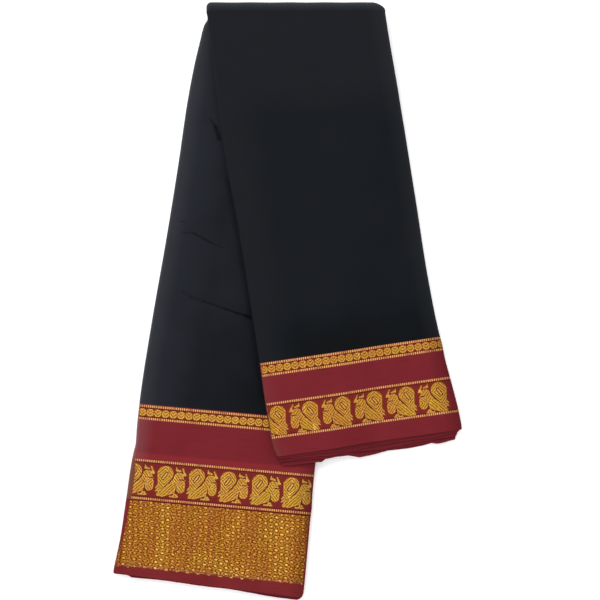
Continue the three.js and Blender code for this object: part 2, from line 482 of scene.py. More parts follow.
@dataclass(frozen=True)
class Part:
    """One simple shape of a woven figure: a tapered bar from one round end to another.

    Args:
        start: x and y of one end, in millimetres from the figure's middle.
        end: x and y of the other end.
        radii: radius at each end.
        ribs: direction of its gold ribs: weights of x and y.
        folded: "x" or "y" to fold the ribs about their origin into chevrons, or "xy" into
            diamonds.
        origin: x and y that folded ribs are centred on, if not the bar's middle.
    """

    start: Pair
    end: Pair
    radii: Pair
    ribs: Pair = (1, 1)
    folded: str = ""
    origin: Pair | None = None

    def outside(self, x: Array, y: Array) -> Array:
        """Distance outside the part's outline.

        Args:
            x: to the right of the figure's middle.
            y: up from it.

        Returns:
            The distance, below zero inside the part.
        """
        (x0, y0), (x1, y1) = self.start, self.end
        dx, dy = x1 - x0, y1 - y0
        share = np.clip(((x - x0) * dx + (y - y0) * dy) / max(dx * dx + dy * dy, 1e-6), 0, 1)
        radius = self.radii[0] + (self.radii[1] - self.radii[0]) * share
        return np.hypot(x - x0 - share * dx, y - y0 - share * dy) - radius

    def phase(self, x: Array, y: Array) -> Array:
        """Distance across the part's ribs.

        Args:
            x: to the right of the figure's middle.
            y: up from it.

        Returns:
            The distance.
        """
        middle = [(a + b) / 2 for a, b in zip(self.start, self.end)]
        px, py = (v - m for v, m in zip((x, y), self.origin or middle))
        px = np.abs(px) if "x" in self.folded else px
        py = np.abs(py) if "y" in self.folded else py
        return (self.ribs[0] * px + self.ribs[1] * py) / math.sqrt(2)


@dataclass(frozen=True)
class Figure:
    """A woven figure.

    Args:
        parts: its gold shapes, from back to front.
        cuts: dark gaps and lines through them.
        ringed: bars inside it that a dark line runs round.
        ring: distance of that line from such a bar.
    """

    parts: tuple[Part, ...]
    cuts: tuple[Part, ...]
    ringed: tuple[Part, ...] = ()
    ring: float = 1.0

    def weave(self, x: Array, y: Array) -> Array:
        """Facts of the figure at points about its middle.

        Args:
            x: to the right, in millimetres.
            y: up.

        Returns:
            Distance inside its outline, distance outside its dark lines, and distance across
            its ribs.
        """
        inside = np.full(x.shape, -FAR)
        phase = np.zeros(x.shape)
        for part in self.parts:
            depth = -part.outside(x, y)
            inside = np.maximum(inside, depth)
            phase = np.where(depth > 0, part.phase(x, y), phase)
        for bar in self.ringed:
            phase = np.where(bar.outside(x, y) < self.ring, 0.6, phase)
        lines = [np.full(x.shape, FAR)] + [cut.outside(x, y) for cut in self.cuts]
        lines += [np.abs(bar.outside(x, y) - self.ring) - 0.5 for bar in self.ringed]
        return np.stack([inside, np.minimum.reduce(lines), phase], axis=-1)


# A peacock that faces left: foot, crest, beak, head, neck, body, the fringe and the raised tail, breast
PEACOCK = Figure(
    parts=(
        Part((-6.7, -12.4), (-10.0, -15.4), (1.1, 0.8)),
        Part((-6.7, -12.4), (-4.4, -15.6), (1.1, 0.8)),
        Part((-9.2, -15.6), (-1.2, -15.4), (0.7, 0.9)),
        Part((-15.6, 8.2), (-11.8, 14.6), (1.3, 0.9), (1, -1)),
        Part((-9.4, 11.9), (-5.2, 12.9), (1.2, 1.3), (1, 1)),
        Part((-5.2, 13.0), (-4.0, 15.8), (1.3, 0.8), (1, 1)),
        Part((-12.8, 4.7), (-15.8, 2.6), (1.3, 0.8)),
        Part((-13.4, 8.6), (-12.6, 5.6), (1.3, 1.2)),
        Part((-8.8, 6.5), (-7.8, 5.6), (4.5, 4.5), (1, -1), "x", (-8.8, 5.0)),
        Part((-7.2, 4.6), (-4.0, -3.0), (4.3, 4.6), (1, -1)),
        Part((-3.2, -7.4), (7.4, -12.4), (4.9, 4.0), (1, 1)),
        Part((-1.6, -5.4), (9.6, -9.8), (4.2, 3.8), (1, 1)),
        Part((7.0, -13.0), (12.2, -14.2), (3.0, 1.9), (1, 1)),
        Part((13.4, -5.0), (15.4, -7.6), (1.2, 0.7)),
        Part((11.6, -8.0), (15.2, -10.6), (1.6, 0.8)),
        Part((6.9, 7.2), (9.4, -3.6), (9.2, 4.6), (1, 1), "xy", (7.2, 5.7)),
        Part((-12.2, -2.2), (-12.4, -6.6), (4.7, 4.6), (1, 1), "y", (-12.3, -4.0)),
    ),
    cuts=(
        Part((-3.6, 17.0), (-3.3, 8.5), (0.8, 0.7)),
        Part((-3.3, 8.5), (-2.2, 3.4), (0.7, 0.7)),
        Part((-2.2, 3.4), (6.0, -5.6), (0.7, 0.5)),
        Part((-12.4, 10.5), (-5.6, 10.9), (0.4, 0.5)),
        Part((-17.0, 3.4), (-9.6, 3.0), (0.45, 0.55)),
        Part((-7.0, -11.6), (-7.4, -4.4), (0.8, 0.4)),
        Part((6.4, -6.4), (10.6, -8.4), (0.3, 0.3)),
        Part((-9.6, -4.0), (-8.0, 0.4), (0.3, 0.3)),
    ),
    ringed=(Part((5.4, 8.6), (8.8, 3.0), (0.5, 0.5)),),
)

# A round bud of the narrow band
BUD = Figure(
    parts=(
        Part((-0.8, -0.8), (0.8, 0.8), (3.3, 3.3), (1, -1), "x", (0, 0)),
        Part((-0.8, 0.8), (0.8, -0.8), (3.3, 3.3), (1, -1), "x", (0, 0)),
    ),
    cuts=(),
)


@dataclass(frozen=True)
class Row:
    """A row of one woven figure along a band.

    Args:
        figure: the figure.
        first: distance along the band of one figure's middle.
        pitch: distance from one figure to the next.
        middle: distance down the border of the row's middle line.
        scale: width and height of the figure against how it is drawn.
        flip: -1 for a figure that is turned the other way.
    """

    figure: Figure
    first: float
    pitch: float
    middle: float
    scale: Pair = (1.0, 1.0)
    flip: int = 1

    def weave(self, u: Array, v: Array) -> Array:
        """Facts of the figures at points of the cloth.

        Args:
            u: distance across the leg.
            v: distance down the border.

        Returns:
            What Figure.weave gives.
        """
        x = ((u - self.first + self.pitch / 2) % self.pitch - self.pitch / 2) * self.flip
        return self.figure.weave(x / self.scale[0], (self.middle - v) / self.scale[1])


@dataclass(frozen=True)
class Band:
    """One band down a border.

    Args:
        top: distance down the border where it starts.
        cell: size of the mesh's cells in it.
        row: the row of figures woven in it, if any.
    """

    top: float
    cell: float
    row: Row | None = None


FRONT_BANDS: tuple[Band, ...] = (
    Band(0.0, 0.65, Row(BUD, 4.0, 8.72, 7.8)),
    Band(15.9, 3.0),
    Band(47.5, 0.75, Row(PEACOCK, 5.3, 36.4, 65.2)),
    Band(82.0, 2.5),
    Band(103.8, 0.0),
)
BACK_BANDS: tuple[Band, ...] = (
    Band(0.0, 0.65, Row(BUD, 5.0, 8.72, 9.0)),
    Band(17.8, 3.0),
    Band(64.4, 0.75, Row(PEACOCK, 11.7, 35.4, 83.6, (1.0, 1.05), -1)),
    Band(106.6, 0.0),
)


@dataclass(frozen=True)
class Stretch:
    """A stretch of a leg between two lines across it.

    Args:
        node: the CAD node that it stands for.
        slot: name of a material slot; not used.
        rests_on: name of what it lies on; not used.
        leg: the leg it covers or fills.
        start: down of its first line at the left and at the right edge.
        end: down of its last line at the left and at the right edge.
        corner: the rounded corner at its end, if it is the end of the leg.
    """

    node: str
    slot: str
    rests_on: str
    leg: Leg
    start: Pair
    end: Pair
    corner: Corner | None = None

    @property
    def length(self) -> float:
        """Length along the leg's middle."""
        return sum(self.end[k] - self.start[k] for k in (0, 1)) / 2

    def row(self, share: Array) -> Sides:
        """Down of the rows that lie a share of the way from the first line to the last."""
        return tuple(self.start[k] + (self.end[k] - self.start[k]) * share for k in (0, 1))


@dataclass(frozen=True)
class ClothStretch(Stretch):
    """A stretch of the outer cloth.

    Args:
        bands: the bands of a border, or none for the plain ground.
        cell: size of the mesh's cells where there are no bands.
    """

    bands: tuple[Band, ...] = ()
    cell: float = 2.2

    def rows(self) -> Array:
        """Distances down the stretch of the mesh's rows, in millimetres."""
        if not self.bands:
            return np.linspace(0, self.length, round(self.length / self.cell) + 1)
        parts = [
            np.linspace(a.top, b.top, max(2, round((b.top - a.top) / a.cell)), endpoint=False)
            for a, b in zip(self.bands, self.bands[1:])
        ]
        return np.concatenate([*parts, [self.bands[-1].top]])

    def mesh(self) -> bpy.types.Object:
        """Models the stretch.

        Returns:
            The piece, with the attributes that its material reads.
        """
        v = self.rows()[:, None]
        row = self.row(v / v[-1])
        form = LegForm(self.leg)
        width = form.width(row)
        cell = min((b.cell for b in self.bands if b.cell), default=self.cell)
        across, up, along = Wrap(round(float(width.mean()) / cell)).profile(width)
        v = np.broadcast_to(v, across.shape)
        weave = np.stack([along, v, width - across], axis=-1)
        if self.corner:
            row, across = self.corner.rounded(row, across, width)
        points = form.point(row, across, up)
        facts = {"weave": weave, "figure": np.full_like(weave, -FAR)}
        for a, b in zip(self.bands, self.bands[1:]):
            if a.row:
                inside = (v >= a.top) & (v < b.top)
                facts["figure"][inside] = a.row.weave(along, v)[inside]
        return cloth_shell(self.node + "_cloth", points, facts)


@dataclass(frozen=True)
class Leaves:
    """The rounded edges of a pile's layers.

    Args:
        count: leaves from the surface to the outer cloth.
        bite: how far the groove between two leaves goes in.
        inset: how far the leaves stop short of the cloth's open side.
        uneven: how far that differs from leaf to leaf.
        tuck: how much further they stop short under the cloth's rounded side.
        seed: seed of their unevenness.
    """

    count: int = 14
    bite: float = 0.7
    inset: float = 0.5
    uneven: float = 0.45
    tuck: float = 2.6
    seed: int = 5

    def levels(self) -> tuple[Array, Array, Array]:
        """The levels of the pile's mesh.

        Returns:
            Height, leaf, and roundness from 0 in a groove to 1 on a crest, of each level.
        """
        per = np.array([0.0, 0.2, 0.5, 0.8])
        round_ = np.array([0.0, 0.75, 1.0, 0.75])
        leaf = np.repeat(np.arange(self.count), len(per))
        up = (leaf + np.tile(per, self.count)) / self.count
        up = np.append(up, 1.0) * PILE_TOP
        return up, np.append(leaf, self.count - 1), np.append(np.tile(round_, self.count), 0.0)

    def across(self, column: Array, columns: int, level: Array, width: Array, ripple: object = 0.0) -> Array:
        """Distances across the leg of a pile's points.

        Args:
            column: the column of each point, from the closed side.
            columns: number of the column at the open side.
            level: the level of each point.
            width: width of the leg there.
            ripple: how far the open side steps in there.

        Returns:
            The distance of each point from the left edge.
        """
        up, leaf, crest = (values[level] for values in self.levels())
        half = LEG_THICK / 2
        rise = (up - half) / (half - CLOTH - CLEAR)
        left = CLOSED_ACROSS - (CLOSED_ACROSS - CLOTH - CLEAR) * np.sqrt(np.clip(1 - rise * rise, 0, 1))
        tucked = np.clip((up - LEG_THICK + OPEN_UP + CLOTH + CLEAR) / OPEN_UP, 0, 1)
        uneven = np.random.default_rng(self.seed).uniform(-self.uneven, self.uneven, self.count)[leaf]
        right = self.inset + uneven + ripple + self.bite * (1 - crest) + self.tuck * tucked**1.5
        flat = CLOSED_ACROSS + (width - OPEN_ACROSS - CLOSED_ACROSS) * column / columns
        return np.where(column == 0, left, np.where(column == columns, width - right, flat))


@dataclass(frozen=True)
class Bundle:
    """Leaves of a pile that end together.

    Args:
        leaves: how many.
        out: how far they poke out past the selvedge of the outer cloth, in millimetres, at
            each station of their end line.
    """

    leaves: int
    out: tuple[float, ...]


@dataclass(frozen=True)
class EndLine:
    """Where the leaves of a leg end.

    Args:
        stations: shares of the way from the left to the right edge.
        bundles: the bundles, from the surface up.
        wave: size of each leaf's own waviness.
        inset: how far the leaves past the selvedge stop short of the open side, at most.
        reach: how far out past the selvedge they stop short by all of that.
        corner: share of the width, next to the open side, over which they do.
    """

    stations: tuple[float, ...]
    bundles: tuple[Bundle, ...]
    wave: float
    inset: float = 0.0
    reach: float = 12.0
    corner: float = 0.2

    def out(self, leaf: Array, share: Array, along: Array) -> Array:
        """How far out each point of the end lies.

        Args:
            leaf: the leaf that each point belongs to.
            share: share of the way from the left to the right edge.
            along: distance across the leg.

        Returns:
            The distance past the selvedge.
        """
        bundle = np.repeat(np.arange(len(self.bundles)), [b.leaves for b in self.bundles])[leaf]
        lines = np.stack([np.interp(share, self.stations, b.out) for b in self.bundles])
        wave = np.sin(along / (7 + 2 * bundle) + 2.1 * bundle) + 0.6 * np.sin(along / 3.1 + 1.7 * leaf)
        return np.take_along_axis(lines, bundle[None], axis=0)[0] + self.wave * wave

    def short(self, out: Array, share: Array) -> Array:
        """How far the leaves step in from the open side, from how far out they are and their share across."""
        near = np.clip((share - (1 - self.corner)) / self.corner, 0, 1)
        return self.inset * np.sqrt(np.clip(out / self.reach, 0, 1)) * near


@dataclass(frozen=True)
class PileStretch(Stretch):
    """The hidden layers of a stretch, seen at their open side and end.

    Args:
        last: how its leaves end, if this is the end of the leg.
        cell: size of the mesh's cells down the leg.
        leaves: its leaves.
    """

    last: EndLine | None = None
    cell: float = 4.0
    leaves: Leaves = Leaves()

    def mesh(self) -> bpy.types.Object:
        """Models the pile.

        Returns:
            The piece, with the attribute that its material reads.
        """
        form = LegForm(self.leg)
        up, leaf, crest = self.leaves.levels()
        rows = round(self.length / self.cell)
        columns = 110 if self.last else 24  # an end that shows needs more
        beyond = [0.15, 0.5, 0.85, 1.0] if self.last else []  # rows past the selvedge
        out_share = np.array([0.0] * (rows + 1) + beyond)

        def place(i: Array, j: Array, k: Array) -> Array:
            """What block asks of it."""
            share = np.minimum(i, rows) / rows
            row = self.row(share)
            width = form.width(row)
            ripple = 0.25 * np.sin(share * self.length / 17 + leaf[k] * 2.4)
            across = self.leaves.across(j, columns, k, width, ripple)
            if self.last:
                out = self.last.out(leaf[k], across / width, across) - self.leaves.bite * (1 - crest[k])
                out = out * out_share[i]
                row = tuple(r + out for r in row)
                across = across - self.last.short(out, across / width)
            if self.corner:
                row, across = self.corner.rounded(row, across, width)
            facts = np.stack([across, row[0] - self.start[0], crest[k]], axis=-1)
            return np.concatenate([form.point(row, across, up[k]), facts], axis=-1)

        name = self.node.replace("layers", "pile")
        return block(name, (rows + len(beyond), columns, len(up) - 1), place)


@dataclass(frozen=True)
class CrossFold:
    """The cross fold at the top: the outer cloth round it, and the bent layers inside.

    Args:
        steps: cells round the fold.
        leaves: the leaves of the bent layers.
        length: length round the outer cloth.
        inner_length: length that the weave takes round the bent layers.
    """

    steps: int = 26
    leaves: Leaves = Leaves()
    length: float = math.pi * FOLD_RADIUS
    inner_length: float = 30.0

    def cloth(self) -> bpy.types.Object:
        """Models the outer cloth round the fold.

        Returns:
            The piece, with the attributes that its material reads.
        """
        form = FoldForm()
        turn = np.linspace(0, 1, self.steps + 1)[:, None]
        across, up, along = Wrap(90).profile(form.width(turn))
        turn = np.broadcast_to(turn, across.shape)
        ripple = 0.12 * np.sin(across / 6.5) * np.sin(turn * math.pi)
        points = form.point(turn[::-1], across, up + ripple)[::-1]
        weave = np.stack([along, -turn * self.length, form.width(turn) - across], axis=-1)
        facts = {"weave": weave, "figure": np.full_like(weave, -FAR)}
        return cloth_shell("fold_ground_cloth", points, facts)

    def pile(self) -> bpy.types.Object:
        """Models the bent layers inside the fold.

        Returns:
            The piece, with the attribute that its material reads.
        """
        form = FoldForm()
        up, _, crest = self.leaves.levels()
        columns = 6

        def place(i: Array, j: Array, k: Array) -> Array:
            """What block asks of it."""
            turn = i / self.steps
            across = self.leaves.across(j, columns, k, form.width(turn))
            facts = np.stack([across, turn * self.inner_length, crest[k]], axis=-1)
            return np.concatenate([form.point(turn, across, up[k]), facts], axis=-1)

        return block("fold_pile", (self.steps, columns, len(up) - 1), place)


def linear(code: str) -> tuple[float, float, float, float]:
    """A colour written as sRGB hex, in linear light.

    Args:
        code: six hex digits after a #.

    Returns:
        Red, green, blue and 1.
    """
    parts = [int(code[i : i + 2], 16) / 255 for i in (1, 3, 5)]
    return (*(p / 12.92 if p <= 0.04045 else ((p + 0.055) / 1.055) ** 2.4 for p in parts), 1.0)


def set_inputs(node: bpy.types.Node, values: dict[object, object]) -> None:
    """Sets a node's inputs.

    Args:
        node: the node.
        values: a value or a socket for each input's name or index, or None to leave it.
    """
    for key, value in values.items():
        if isinstance(value, bpy.types.NodeSocket):
            node.id_data.links.new(value, node.inputs[key])
        elif value is not None:
            node.inputs[key].default_value = value


def add(
    tree: bpy.types.NodeTree, kind: str, *inputs: object, out: object = 0, **settings: object
) -> bpy.types.NodeSocket:
    """Adds a shader node.

    Args:
        tree: the material's node tree.
        kind: the node's type without its prefix.
        inputs: a value or a socket for each input in order, or None to leave it.
        out: index or name of the output to return.
        settings: the node's own properties, and inputs by name where the name starts with "_".

    Returns:
        The output socket.
    """
    made = tree.nodes.new("ShaderNode" + kind)
    for key, value in settings.items():
        if not key.startswith("_"):
            setattr(made, key, value)
    set_inputs(made, dict(enumerate(inputs)))
    set_inputs(made, {k[1:]: v for k, v in settings.items() if k.startswith("_")})
    return made.outputs[out]


@dataclass(frozen=True)
class Term:
    """A number inside a material that is worked with like a plain number.

    Args:
        socket: the output that gives it.
    """

    socket: bpy.types.NodeSocket

    def math(self, operation: str, other: object = None) -> "Term":
        """The result of a math node on this term and another.

        Args:
            operation: the node's operation.
            other: a term or a number, if the operation takes a second one.

        Returns:
            The result.
        """
        second = other.socket if isinstance(other, Term) else other
        return Term(add(self.socket.id_data, "Math", self.socket, second, operation=operation))

    def __add__(self, other: object) -> "Term":
        """This term plus another."""
        return self.math("ADD", other)

    def __sub__(self, other: object) -> "Term":
        """This term less another."""
        return self.math("SUBTRACT", other)

    def __mul__(self, other: object) -> "Term":
        """This term times another."""
        return self.math("MULTIPLY", other)

    def ramp(self, low: float, high: float) -> "Term":
        """0 below low, 1 above high, and even between them."""
        return Term(add(self.socket.id_data, "MapRange", self.socket, low, high, 0.0, 1.0))

    def wave(self, pitch: float) -> "Term":
        """A wave from 0 to 1 with a pitch in millimetres."""
        return (self * (2 * math.pi / pitch)).math("SINE") * 0.5 + 0.5


@dataclass(frozen=True)
class Finish:
    """Colours and feel of one kind of cloth.

    Args:
        name: the material's name.
        base: colour of the ground weave.
        shade: darker colour of the ground, in its slubs, and painted shade in its folds and grooves.
        gold: colour of the gold thread, lit.
        dim: colour of the gold thread in its grooves: painted shade.
        glint: colour of the painted glints on the gold thread.
        outline: colour of the thread round each figure.
        groove: colour of the dark lines beside the gold.
        rough: roughness of the ground.
    """

    name: str
    base: str
    shade: str
    gold: str = "#c48a36"
    dim: str = "#6a3104"
    glint: str = "#e2b244"
    outline: str = "#cb9052"
    groove: str = "#4c150f"
    rough: float = 0.75


# Black silk and cotton: nearly matt, with no shine, so only its folds and edges catch light. The three are
# lit and shaded copies of one cloth, each base painted lighter or darker for the light on its part.
FRONT_GROUND = Finish("black silk cotton", "#191a1e", "#121519")
BACK_GROUND = Finish("black silk cotton, back leg, painted lighter", "#22242a", "#15171c")
FOLD_GROUND = Finish("black silk cotton, folded", "#1a1d21", "#15181c")
# Maroon silk and cotton with gold thread: matt cloth against threads that catch the light
BORDER = Finish("maroon silk cotton with gold thread", "#6e2128", "#611a20")
WIDE_BORDER = Finish(
    "maroon silk cotton with gold thread, wide", "#6e2128", "#611a20", gold="#cd963c", outline="#d3a05c"
)
# Gold thread brocade on maroon: a broken glitter over a brown ground
BROCADE = Finish("gold thread brocade", "#702427", "#5c1a1d", gold="#dc9f3f", dim="#672b00", glint="#f0c77c")
# The turned edges of the hidden layers, which lie in each other's shadow
BLACK_EDGES = Finish("folded edges of black silk cotton", "#202329", "#08090a")
MAROON_EDGES = Finish("folded edges of maroon silk cotton", "#6b2127", "#4e171e")


@dataclass(frozen=True)
class ShadeTone:
    """A stretch of a leg over which painted shade darkens the black cloth, from its more lit to its less lit
    side.

    Args:
        across: distances from the left edge where it starts and ends.
        down: distances down the leg where it starts and ends, or none if it is the same all down.
        share: how dark it gets.
    """

    across: Pair
    down: Pair | None
    share: float


@dataclass(frozen=True)
class Mark:
    """A line on the cloth: painted shade along a sharp fold or beside a higher leg, or a painted highlight
    where gold catches the light.

    Args:
        start: distances across and down of one end.
        end: distances across and down of the other end.
        width: half width.
        share: how dark or bright it is.
    """

    start: Pair
    end: Pair
    width: float
    share: float


def shade_line(width: float, share: float, *points: Pair) -> tuple[Mark, ...]:
    """Painted shade lines that run from point to point.

    Args:
        width: half width.
        share: how dark they are.
        points: distances across and down of each point.

    Returns:
        The marks.
    """
    return tuple(Mark(a, b, width, share) for a, b in zip(points, points[1:]))


class Weaver:
    """Builds the procedural materials. Every scale is in real millimetres of the cloth."""

    def __init__(self, finish: Finish) -> None:
        """Starts a material.

        Args:
            finish: its colours and feel.
        """
        self.finish = finish
        self.material = bpy.data.materials.new(finish.name)
        self.material.use_nodes = True
        self.tree = self.material.node_tree
        self.weave, self.u, self.v, self.side = self.facts("weave")
        _, self.inside, self.line, self.phase = self.facts("figure")
        # The ends of the gold threads step in and out along each outline
        steps = (self.noise(1.1, 1.1, 1.0) - 0.5) * 1.7
        self.inside, self.line = self.inside + steps, self.line + steps

    def facts(self, name: str) -> list[object]:
        """An attribute of the mesh as one socket, then each of its three numbers as a term."""
        vector = add(self.tree, "Attribute", attribute_name=name, out="Vector")
        return [vector, *map(Term, add(self.tree, "SeparateXYZ", vector).node.outputs)]

    def vector(self, operation: str, *inputs: object, **settings: object) -> bpy.types.NodeSocket:
        """The result of a vector math node, whose inputs and settings go as in add."""
        return add(self.tree, "VectorMath", *inputs, operation=operation, **settings)

    def noise(self, along_u: float, along_v: float, detail: float = 2.0) -> Term:
        """Noise with grains of a size across and down the leg.

        Args:
            along_u: size of a grain across the leg, in millimetres.
            along_v: size of a grain down the leg.
            detail: finer octaves.

        Returns:
            The noise, about 0.5.
        """
        scale = (1 / along_u, 1 / along_v, 0.0)
        at = self.vector("MULTIPLY", self.weave, scale)
        return Term(add(self.tree, "TexNoise", _Vector=at, _Scale=1.0, _Detail=detail))

    def mixed(self, share: Term, first: object, second: object) -> bpy.types.NodeSocket:
        """Colour between two, each a socket or sRGB hex.

        Args:
            share: how much of the second.
            first: the colour at 0.
            second: the colour at 1.

        Returns:
            The socket of the colour.
        """
        a, b = (linear(c) if isinstance(c, str) else c for c in (first, second))
        return add(self.tree, "MixRGB", share.socket, a, b)

    def layered(self, colour: object, *layers: tuple[Term, object]) -> object:
        """Colours laid over each other.

        Args:
            colour: the lowest one.
            layers: from the lowest up, how much of each further colour, and the colour.

        Returns:
            The socket of the colour.
        """
        for share, over in layers:
            colour = self.mixed(share, colour, over)
        return colour

    def near(self, mark: Mark) -> Term:
        """Closeness to a mark's line on the cloth.

        Args:
            mark: the mark.

        Returns:
            Its share on the line and 0 beyond its width.
        """
        (x0, y0), (x1, y1) = mark.start, mark.end
        run = (x1 - x0, y1 - y0, 0.0)
        step = tuple(r / (run[0] ** 2 + run[1] ** 2) for r in run)
        flat = self.vector("MULTIPLY", self.weave, (1.0, 1.0, 0.0))
        off = self.vector("SUBTRACT", flat, (x0, y0, 0.0))
        share = Term(self.vector("DOT_PRODUCT", off, step, out="Value")).ramp(0, 1)
        foot = self.vector("SCALE", run, _Scale=share.socket)
        distance = Term(self.vector("LENGTH", self.vector("SUBTRACT", off, foot), out="Value"))
        return distance.ramp(mark.width, 0.25 * mark.width) * mark.share

    def grain(self) -> Term:
        """Relief of the plain weave. Its threads are 0.3 mm apart, too fine to show, so drawn 0.9 mm."""
        return self.noise(0.9, 0.9, 1.0)

    def slubs(self) -> Term:
        """Thicker threads across the cloth, from 0 to 1, drawn 1.1 mm thick because finer ones don't show."""
        streaks = self.noise(28, 1.1, 1.0).ramp(0.58, 0.76)
        return streaks * 0.6 + self.noise(45, 60).ramp(0.35, 0.7) * 0.4

    def dashes(self, middles: tuple[float, ...]) -> tuple[Term, Term, object]:
        """Rows of short gold stitches across the leg, each with a dark line on its inner side.

        Args:
            middles: distance down the border of each row, in pairs about what they frame.

        Returns:
            Where there is gold, where there is a dark line, from 0 to 1, and the gold's colour.
        """
        row = line = None
        for k, middle in enumerate(middles):
            off = (self.v - middle) * (1.0 if k % 2 == 0 else -1.0)
            stitch = off.math("ABSOLUTE") * -1.0
            groove = (off - 1.95).math("ABSOLUTE") * -1.0
            row = stitch if row is None else row.math("MAXIMUM", stitch)
            line = groove if line is None else line.math("MAXIMUM", groove)
        ticks = (self.u + self.noise(14, 400) * 3.0).wave(STITCH).ramp(0.3, 0.7)
        colour = self.mixed(ticks * self.noise(9, 9).ramp(0.2, 0.5), "#7d3f20", "#dca367")
        return row.ramp(-1.4, -0.95), line.ramp(-0.75, -0.35), colour

    def gold(self, ribs: Term) -> object:
        """Colour of the gold thread.

        Args:
            ribs: 0 in a groove between two ribs and 1 on a rib.

        Returns:
            The socket of the colour.
        """
        # painted light on the ribs and painted shade in the grooves between them, made uneven at random
        lit = (ribs * 0.8 + self.noise(1.4, 1.4, 1.0) * 1.2 - 0.44).ramp(0.0, 1.0)
        rim = self.inside.math("MINIMUM", self.line).ramp(1.3, 0.4)
        return self.layered(
            self.mixed(lit, self.finish.dim, self.finish.gold),
            ((self.noise(18, 55) - 0.45) * 2.4, self.mixed(lit, "#6e4a08", "#c4a02c")),
            ((self.noise(6, 24, 4.0) + ribs * 0.12).ramp(0.7, 0.82), self.finish.glint),
            (rim * self.noise(2.5, 2.5).ramp(0.25, 0.6) * 0.8, self.finish.outline),
        )

    def turned(self, distance: Term) -> Term:
        """How far the cloth turns away and catches the light, at a distance from one of its sides."""
        return distance.ramp(20, 0) * 0.45 + distance.ramp(4, 0) * 0.55

    def open_side_shade(self) -> Term:
        """How near the open side is, from 0 at 20 mm in to 1 at the side; it sets the painted shade there."""
        return self.side.ramp(20, 0)

    def done(self, colour: object, height: Term, gold: Term | None = None) -> bpy.types.Material:
        """Links the material's parts to its shader.

        Args:
            colour: socket of the colour.
            height: relief, in millimetres.
            gold: where there is gold thread, if any.

        Returns:
            The material.
        """
        relief = add(self.tree, "Bump", _Height=height.socket, _Distance=MM, _Strength=0.5, out="Normal")
        set_inputs(self.tree.nodes["Principled BSDF"], {
            "Base Color": colour,
            "Normal": relief,
            "Roughness": (gold * -0.3 + self.finish.rough).socket if gold else self.finish.rough,
            "Metallic": (gold * 0.2).socket if gold else 0.0,
            "Specular IOR Level": 0.03,
        })
        return self.material


def ground_cloth(
    finish: Finish, shade_tones: tuple[ShadeTone, ...], marks: tuple[Mark, ...], rim: float, turn: float
) -> bpy.types.Material:
    """Black cloth with painted light: painted shade where less light falls and along fold lines, and painted
    sheen, lighter, where it turns away at a rounded edge.

    Args:
        finish: its colours.
        shade_tones: its painted shade, slow darkening where less light falls.
        marks: painted shade along its sharp fold lines and beside the front leg's edge.
        rim: share of painted sheen where the surface is seen at a slant, as where it turns away.
        turn: share of painted sheen beside the closed side.

    Returns:
        The material.
    """
    weaver = Weaver(finish)
    # tone that differs at random, then the painted shade of each shade tone on top
    dark = weaver.noise(50, 42) * 0.7 - 0.35
    for tone in shade_tones:
        part = weaver.u.ramp(*tone.across)
        if tone.down:
            part = part * weaver.v.ramp(*tone.down)
        dark = dark + part * tone.share
    facing = Term(add(weaver.tree, "LayerWeight", 0.5, out="Facing"))
    colour = weaver.layered(
        finish.base,
        (dark.ramp(0.0, 1.0), finish.shade),
        (dark.ramp(1.0, 2.0), "#0a0b0b"),
        # painted shade along fold lines and beside the front leg
        *((weaver.near(mark), "#040405") for mark in marks),
        # painted sheen at the closed and the open side, and where the surface is seen at a slant
        (weaver.turned(weaver.u) * turn, SHEEN),
        (weaver.turned(weaver.side) * 0.02, SHEEN),
        (facing.ramp(0.05, 0.8) * rim, "#3a3c3e"),
    )
    return weaver.done(colour, weaver.slubs() * 0.1 + weaver.grain() * 0.08)


def edge_cloth(finish: Finish) -> bpy.types.Material:
    """The turned edges of hidden layers: painted shade darkens each into the groove under the next.

    Args:
        finish: its colours.

    Returns:
        The material.
    """
    weaver = Weaver(finish)
    # painted shade in the grooves between the leaves
    groove = weaver.side.ramp(0.75, 0.0)
    colour = weaver.layered(finish.base, (weaver.slubs() * 0.5, finish.shade), (groove, finish.shade))
    return weaver.done(colour, weaver.grain() * 0.1)


@dataclass(frozen=True)
class BorderLook:
    """Where a border's gold lies.

    Args:
        dashes: distance down the border of each row of stitches.
        narrow: distance down the border where the narrow band starts and ends.
        closed_margin: plain cloth at the closed side, beside the narrow band and further down.
        open_margin: plain cloth at the open side, beside the narrow band and further down.
        ruddy: distance down the border where a redder strip starts and ends.
        pale: share of painted sheen at the closed side, where the cloth turns away; 4.5 times it is how brown
            the margin beside the figures gets.
    """

    dashes: tuple[float, ...]
    narrow: Pair
    closed_margin: Pair
    open_margin: Pair
    ruddy: Pair
    pale: float


